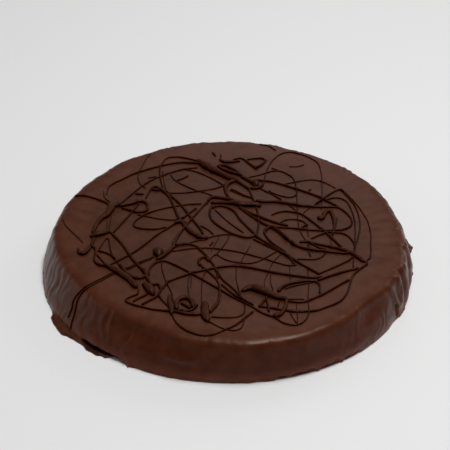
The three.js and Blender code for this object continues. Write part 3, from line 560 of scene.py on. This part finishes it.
def section():
    """The coat in section as (run, radius, height): run is the distance along it from the top's middle."""
    shoulder = [(TOP_RADIUS - inset, HEIGHT - drop) for inset, drop in SHOULDER]
    side = [(TOP_RADIUS + flare, height) for flare, height in SIDE]
    line = curve_through([(0, HEIGHT), (FLAT_SHARE_FROM, HEIGHT)] + shoulder + side, SECTION_STEP)
    run = np.concatenate([[0], np.cumsum(np.linalg.norm(np.diff(line, axis=0), axis=1))])
    return run, line[:, 0], line[:, 1]


RUN, RADIUS, LEVEL = section()
FACING_OUT = -np.gradient(LEVEL, RUN)
FACING_UP = np.gradient(RADIUS, RUN)


def chipped(azimuth, z):
    """1 where the lower edge of the coat is chipped away, and 0 where it is whole."""
    return smooth(humps(CHIPS, azimuth) - z, 0, CHIP_EDGE)


def hollow(azimuth, z):
    """Push of the hollow at an azimuth and height."""
    return around(HOLLOW, azimuth) * smooth(z, *HOLLOW_FLOOR) * (1 - smooth(z, *HOLLOW_ROOF))


def push(azimuth, z):
    """How far the surface at this azimuth and height lies outside the plain turned section."""
    up = z / HEIGHT
    foot = 1 - smooth(z, FOOT_THICKNESS, FOOT_TOP)
    tuck = np.clip(1 - z / EDGE_ROUND, 0, 1) ** 2
    return (
        (swell(BASE_OUTLINE, azimuth) + around(BASE_REACH, azimuth)) * (1 - up)
        + (swell(TOP_OUTLINE, azimuth) + around(TOP_REACH, azimuth)) * up
        + folds(azimuth, z)
        + around(FOOT, azimuth) * foot
        + hollow(azimuth, z)
        + lumps(azimuth, z)
        - CHIP_DEPTH * chipped(azimuth, z)
        - EDGE_ROUND * tuck
    )


def relief(azimuth, run):
    """Height of the ripples and waves that the coat set into."""
    side = smooth(run, *SIDE_RIPPLES_FROM)
    rim = smooth(run, *RIM_RIPPLES_FROM)
    bent = azimuth + WOBBLE * wave_height(WOBBLES, azimuth, run)
    ripples = wave_height(BROAD_RIPPLES, bent, run) + FINE_SHARE * wave_height(FINE_RIPPLES, bent, run)
    top = smooth(run, 0, RIM_RIPPLES_FROM[0])
    return (
        around(SIDE_RIPPLES, azimuth) * side * ripples
        + around(RIM_RIPPLES, azimuth) * rim * (1 - side) * wave_height(RIM_WAVES, azimuth, run)
        + TOP_WAVE_DEPTH * top * (1 - side) * wave_height(TOP_WAVES, azimuth, run)
    )


def surface(uv):
    """Points of the coat's surface at places (u, v)."""
    run = np.hypot(uv[:, 0], uv[:, 1])
    azimuth = np.degrees(np.arctan2(uv[:, 1], uv[:, 0]))
    radius = np.interp(run, RUN, RADIUS)
    z = np.interp(run, RUN, LEVEL)
    height = relief(azimuth, run)
    share = smooth(radius, FLAT_SHARE_FROM, TOP_RADIUS - SHOULDER[0][0])
    out = radius + push(azimuth, z) * share + height * np.interp(run, RUN, FACING_OUT)
    sunk = 1 - around(DROOP, azimuth) * smooth(radius, *DROOP_FROM) / HEIGHT
    level = np.maximum(z * sunk + height * np.interp(run, RUN, FACING_UP), 0)
    return np.column_stack([out * np.cos(np.radians(azimuth)), out * np.sin(np.radians(azimuth)), level])


def places(points):
    """The places (u, v) that lie at points of the plan."""
    plan = np.asarray(points, float)
    uv = plan.copy()
    for _ in range(PLACE_STEPS):
        uv += plan - surface(uv)[:, :2]
    return uv


def normals(uv):
    """Outward normals of the coat at places (u, v), from points a little way off."""
    du = surface(uv + (NORMAL_STEP, 0)) - surface(uv - (NORMAL_STEP, 0))
    dv = surface(uv + (0, NORMAL_STEP)) - surface(uv - (0, NORMAL_STEP))
    n = np.cross(du, dv)
    return n / np.linalg.norm(n, axis=1)[:, None]


def make_object(name, vertices, faces, shares, material):
    """A smooth-shaded mesh object from points in millimetres, with named shares of 0 to 1 at its points."""
    mesh = bpy.data.meshes.new(name)
    mesh.from_pydata((np.asarray(vertices) * MM).tolist(), [], faces)
    mesh.update()
    mesh.polygons.foreach_set("use_smooth", [True] * len(mesh.polygons))
    for share, values in shares.items():
        mesh.attributes.new(share, "FLOAT", "POINT").data.foreach_set("value", np.asarray(values, np.float32))
    mesh.materials.append(material)
    made = bpy.data.objects.new(name, mesh)
    bpy.context.scene.collection.objects.link(made)
    return made


def coat_piece(material):
    """The poured coat: rings from the middle of the top to the foot, then across the underside."""
    stops = [run for run, step in RING_STEPS[1:]] + [RUN[-1]]
    rings = np.concatenate(
        [np.arange(run, stop, step) for (run, step), stop in zip(RING_STEPS, stops)] + [RUN[-1:]]
    )[1:]
    turn = np.linspace(0, 2 * math.pi, COLUMNS, endpoint=False)
    uv = np.array([(r * math.cos(a), r * math.sin(a)) for r in rings for a in turn])
    points = surface(uv)
    underside = points[-COLUMNS:] * (UNDERSIDE_RING, UNDERSIDE_RING, 0)
    vertices = np.vstack([[(0, 0, HEIGHT)], points, underside, [(0, 0, 0)]])
    azimuth = np.degrees(np.arctan2(uv[:, 1], uv[:, 0]))
    run = np.hypot(uv[:, 0], uv[:, 1])
    level = np.interp(run, RUN, LEVEL)
    edge = chipped(azimuth, level)
    # Painted shade where the foot runs out, which keeps the other tints off it.
    lip_shade = smooth(around(FOOT, azimuth), *LIP_SHADE_FROM) * (1 - smooth(level, FOOT_THICKNESS, 2 * FOOT_TOP))
    # Paler outside the drizzle, with a greyer tint that is a painted sheen.
    bare_sheen = smooth(run, *BARE_SHEEN_FROM) * (1 - lip_shade)
    # Painted glow of floor-bounced light, paler towards the foot.
    low = (1 - smooth(level, *FLOOR_BOUNCE_TO)) * (1 - lip_shade)
    # Painted shadow inside the hollow.
    hollow_shade_share = smooth(level, *HOLLOW_SHADE_FROM) * (1 - smooth(level, *HOLLOW_ROOF))
    shares = {
        "bare_sheen": bare_sheen,
        # Redder on the side, offsetting part of the floor's grey reflection.
        "side": smooth(run, *SIDE_FROM) * (1 - lip_shade),
        "low": low,
        "worn": 4 * edge * (1 - edge),
        "hollow_shade": -around(HOLLOW, azimuth) / HOLLOW_DEPTH * hollow_shade_share,
    }
    shares = {name: np.concatenate([[0], share, np.zeros(COLUMNS + 1)]) for name, share in shares.items()}
    faces = []
    for j in range(COLUMNS):
        k = (j + 1) % COLUMNS
        faces.append((0, 1 + j, 1 + k))
    for i in range(len(rings)):
        for j in range(COLUMNS):
            k = (j + 1) % COLUMNS
            a = 1 + i * COLUMNS
            faces.append((a + j, a + COLUMNS + j, a + COLUMNS + k, a + k))
    last = 1 + len(rings) * COLUMNS
    for j in range(COLUMNS):
        k = (j + 1) % COLUMNS
        faces.append((last + j, last + COLUMNS, last + k))
    return make_object("coat", vertices, faces, shares, material)


class Pile:
    """How high the threads already lie over each place of the coat."""

    def __init__(self):
        size = round(2 * MAP_HALF / MAP_PITCH) + 1
        self.height = np.zeros((size, size))

    def cells(self, uv):
        """The map's cells that hold places (u, v)."""
        return np.clip(np.round((uv + MAP_HALF) / MAP_PITCH).astype(int), 0, len(self.height) - 1)

    def at(self, uv):
        """How high the threads lie at places (u, v)."""
        i, j = self.cells(uv).T
        return self.height[i, j]

    def add(self, uv, height):
        """Note threads of some height at places (u, v)."""
        i, j = self.cells(uv).T
        np.maximum.at(self.height, (i, j), height)


def thread_mesh(width, path, pile, seed):
    """Vertices, faces and crest shares of one thread, draped over those already there."""
    path = np.asarray(path, float)
    ends = path[[0, -1]] - path[[1, -2]]
    ends *= END_REACH / np.linalg.norm(ends, axis=1)[:, None]
    line = curve_through([path[0] + ends[0], *path[1:-1], path[-1] + ends[1]], THREAD_STEP)
    count = len(line)
    share = np.linspace(0, 1, count)
    wide = np.interp(share, np.linspace(0, 1, len(width)), width)
    beads = [noise.noise(Vector((i * BEAD_PITCH, seed * BEAD_SPREAD, 0))) for i in range(count)]
    wide = wide * (1 + BEAD_DEPTH * np.array(beads))
    from_end = np.minimum(np.arange(count), np.arange(count)[::-1]) * THREAD_STEP
    tip = np.sqrt(np.clip((from_end + TIP_START) / (wide * TIP_SHARE), 0, 1))
    wide = wide * tip
    rise = THREAD_RISE * wide ** THREAD_SAG * tip
    ahead = np.gradient(line, axis=0)
    ahead /= np.linalg.norm(ahead, axis=1)[:, None]
    across = np.column_stack([-ahead[:, 1], ahead[:, 0]])
    under = np.max([pile.at(line + across * (wide * c)[:, None]) for c in FEEL_ACROSS], axis=0)
    evened = np.ones(DRAPE_STATIONS) / DRAPE_STATIONS
    lift = np.convolve(np.pad(under, DRAPE_STATIONS // 2, mode="edge"), evened, mode="valid") * THREAD_DRAPE
    up = normals(line)
    rings = []
    for c, h in THREAD_SECTION:
        tall = lift + rise * h if h > 0 else np.full(count, -THREAD_SINK)
        rings.append(surface(line + across * (wide * c)[:, None]) + up * tall[:, None])
    for c in NOTE_ACROSS:
        pile.add(line + across * (wide * c)[:, None], lift + rise * math.sqrt(1 - (2 * c) ** 2))
    sides = len(THREAD_SECTION)
    vertices = np.stack(rings, axis=1).reshape(-1, 3)
    # Painted light along the crest of thicker threads; below it the thread keeps its darker brown, a painted
    # shade on the flanks.
    crown = smooth(np.array([h for c, h in THREAD_SECTION]), *CROWN_FROM)
    lit_crest = np.outer(smooth(rise, *LIT_CREST_FROM), crown).reshape(-1)
    faces = []
    for i in range(count - 1):
        for j in range(sides):
            a = i * sides + j
            b = i * sides + (j + 1) % sides
            faces.append((a, b, b + sides, a + sides))
    faces.append(tuple(range(sides))[::-1])
    faces.append(tuple(range((count - 1) * sides, count * sides)))
    return vertices, faces, lit_crest


def drizzle_piece(material):
    """All the threads as one piece, the finest lying lowest."""
    pile = Pile()
    vertices, faces, crests = [], [], []
    laid = [(width, places(path)) for width, path in FINE + SWEEPS + THROWS + HOOKS + DROPS]
    for seed, (width, path) in enumerate(OVER + laid):
        new_vertices, new_faces, lit_crest = thread_mesh(width, path, pile, seed)
        crests.extend(lit_crest.tolist())
        start = len(vertices)
        vertices.extend(new_vertices.tolist())
        faces.extend(tuple(start + k for k in face) for face in new_faces)
    return make_object("drizzle", vertices, faces, {"lit_crest": crests}, material)


def chocolate(name, browns, tints, roughness, gloss_level):
    """Set chocolate: two close browns in soft patches, tinted by shares of the mesh, with a satin gloss."""
    material = bpy.data.materials.new(name)
    material.use_nodes = True
    nodes = material.node_tree.nodes
    links = material.node_tree.links
    shader = nodes["Principled BSDF"]
    shader.inputs["IOR"].default_value = REFRACTION
    shader.inputs["Specular IOR Level"].default_value = gloss_level
    shader.inputs["Specular Tint"].default_value = GLOSS_TINT
    place = nodes.new("ShaderNodeTexCoord")
    patches = nodes.new("ShaderNodeTexNoise")
    patches.inputs["Scale"].default_value = PATCH_SCALE
    patches.inputs["Detail"].default_value = PATCH_DETAIL
    links.new(place.outputs["Object"], patches.inputs["Vector"])

    def patchy(pair):
        """A colour that lies between a pair of browns, as the patches do."""
        ramp = nodes.new("ShaderNodeValToRGB")
        for element, position, colour in zip(ramp.color_ramp.elements, PATCH_EDGES, pair):
            element.position = position
            element.color = (*colour, 1)
        links.new(patches.outputs["Fac"], ramp.inputs["Fac"])
        return ramp.outputs["Color"]

    colour = patchy(browns)
    for share, pair in tints:
        reading = nodes.new("ShaderNodeAttribute")
        reading.attribute_name = share
        mix = nodes.new("ShaderNodeMix")
        mix.data_type = "RGBA"
        links.new(reading.outputs["Fac"], mix.inputs[MIX_SHARE])
        links.new(colour, mix.inputs[MIX_FROM])
        links.new(patchy(pair), mix.inputs[MIX_TO])
        colour = mix.outputs[MIX_RESULT]
    links.new(colour, shader.inputs["Base Color"])
    gloss = nodes.new("ShaderNodeMapRange")
    gloss.inputs["To Min"].default_value = roughness - ROUGHNESS_SPREAD
    gloss.inputs["To Max"].default_value = roughness + ROUGHNESS_SPREAD
    links.new(patches.outputs["Fac"], gloss.inputs["Value"])
    links.new(gloss.outputs["Result"], shader.inputs["Roughness"])
    grain = nodes.new("ShaderNodeTexNoise")
    grain.inputs["Scale"].default_value = GRAIN_SCALE
    grain.inputs["Detail"].default_value = GRAIN_DETAIL
    links.new(place.outputs["Object"], grain.inputs["Vector"])
    bump = nodes.new("ShaderNodeBump")
    bump.inputs["Strength"].default_value = GRAIN_STRENGTH
    bump.inputs["Distance"].default_value = GRAIN_DEPTH
    links.new(grain.outputs["Fac"], bump.inputs["Height"])
    links.new(bump.outputs["Normal"], shader.inputs["Normal"])
    return material


def plain(name, colour, roughness):
    """A material of one colour."""
    material = bpy.data.materials.new(name)
    material.use_nodes = True
    shader = material.node_tree.nodes["Principled BSDF"]
    shader.inputs["Base Color"].default_value = (*colour, 1)
    shader.inputs["Roughness"].default_value = roughness
    return material


coat = coat_piece(chocolate("coat_chocolate", COAT_BROWNS, COAT_TINTS, COAT_ROUGHNESS, COAT_GLOSS))
drizzle = drizzle_piece(
    chocolate("drizzle_chocolate", SHADED_THREAD_BROWNS, THREAD_TINTS, THREAD_ROUGHNESS, THREAD_GLOSS)
)
for piece in (coat, drizzle):
    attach(piece, "root")
    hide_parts("cake")

# A plain pale floor, a hair below the cake.
FLOOR_SIZE = 6
FLOOR_LEVEL = -0.0003
FLOOR_WHITE = (0.745, 0.745, 0.745)
FLOOR_ROUGHNESS = 0.6
bpy.ops.mesh.primitive_plane_add(size=FLOOR_SIZE, location=(0, 0, FLOOR_LEVEL))
floor = bpy.context.object
floor.name = "floor"
floor.data.materials.append(plain("floor_white", FLOOR_WHITE, FLOOR_ROUGHNESS))

# Camera where the photograph was taken from, with a slight roll.
CAMERA_AT = Vector((0, -1.0265, 0.743))
CAMERA_AIM = Vector((-0.0034, 0.050, 0))
CAMERA_ROLL = 0.976
CAMERA_LENS = 144
CAMERA_SENSOR = 36
camera = bpy.data.objects.new("camera", bpy.data.cameras.new("camera"))
camera.data.lens = CAMERA_LENS
camera.data.sensor_width = CAMERA_SENSOR
camera.location = CAMERA_AT
facing = (CAMERA_AIM - CAMERA_AT).to_track_quat("-Z", "Y")
camera.rotation_mode = "QUATERNION"
camera.rotation_quaternion = facing @ Quaternion((0, 0, 1), math.radians(CAMERA_ROLL))
bpy.context.scene.collection.objects.link(camera)
bpy.context.scene.camera = camera

# Soft lights: name, place, width, depth and watts. Two more stand low down at the left: turn from straight
# left, and watts.
LIGHTS = [
    ("overhead", (0.30, -0.05, 1.5), 0.9, 0.3, 20),
    ("behind", (0.1, 1.6, 1.1), 0.5, 1.2, 1.6),
    ("behind_right", (1.2, 1.3, 0.9), 0.8, 0.8, 4),
]
LEFT_LIGHTS = [(-20, 1.4), (0, 1.8)]
LEFT_DISTANCE = 1.7
LEFT_HEIGHT = 0.35
LEFT_SIZE = (0.6, 1)
SURROUNDINGS = 0.18

# The darkest tones of the photograph are deep, so this much light counts as black.
BLACK_LEVEL = 0.003


def soft_light(name, at, width, depth, watts):
    """A soft light that faces the cake."""
    lamp = bpy.data.lights.new(name, "AREA")
    lamp.shape = "RECTANGLE"
    lamp.size = width
    lamp.size_y = depth
    lamp.energy = watts
    light = bpy.data.objects.new(name, lamp)
    light.location = at
    light.rotation_euler = (-Vector(at)).to_track_quat("-Z", "Y").to_euler()
    bpy.context.scene.collection.objects.link(light)


for light in LIGHTS:
    soft_light(*light)
for turn, watts in LEFT_LIGHTS:
    left = -LEFT_DISTANCE * math.cos(math.radians(turn))
    back = -LEFT_DISTANCE * math.sin(math.radians(turn))
    soft_light("left_%d" % turn, (left, back, LEFT_HEIGHT), *LEFT_SIZE, watts)
world = bpy.data.worlds.new("surroundings")
world.use_nodes = True
world.node_tree.nodes["Background"].inputs["Color"].default_value = (1, 1, 1, 1)
world.node_tree.nodes["Background"].inputs["Strength"].default_value = SURROUNDINGS
bpy.context.scene.world = world
view = bpy.context.scene.view_settings
view.view_transform = "Standard"
view.use_curve_mapping = True
view.curve_mapping.black_level = (BLACK_LEVEL, BLACK_LEVEL, BLACK_LEVEL)
view.curve_mapping.update()
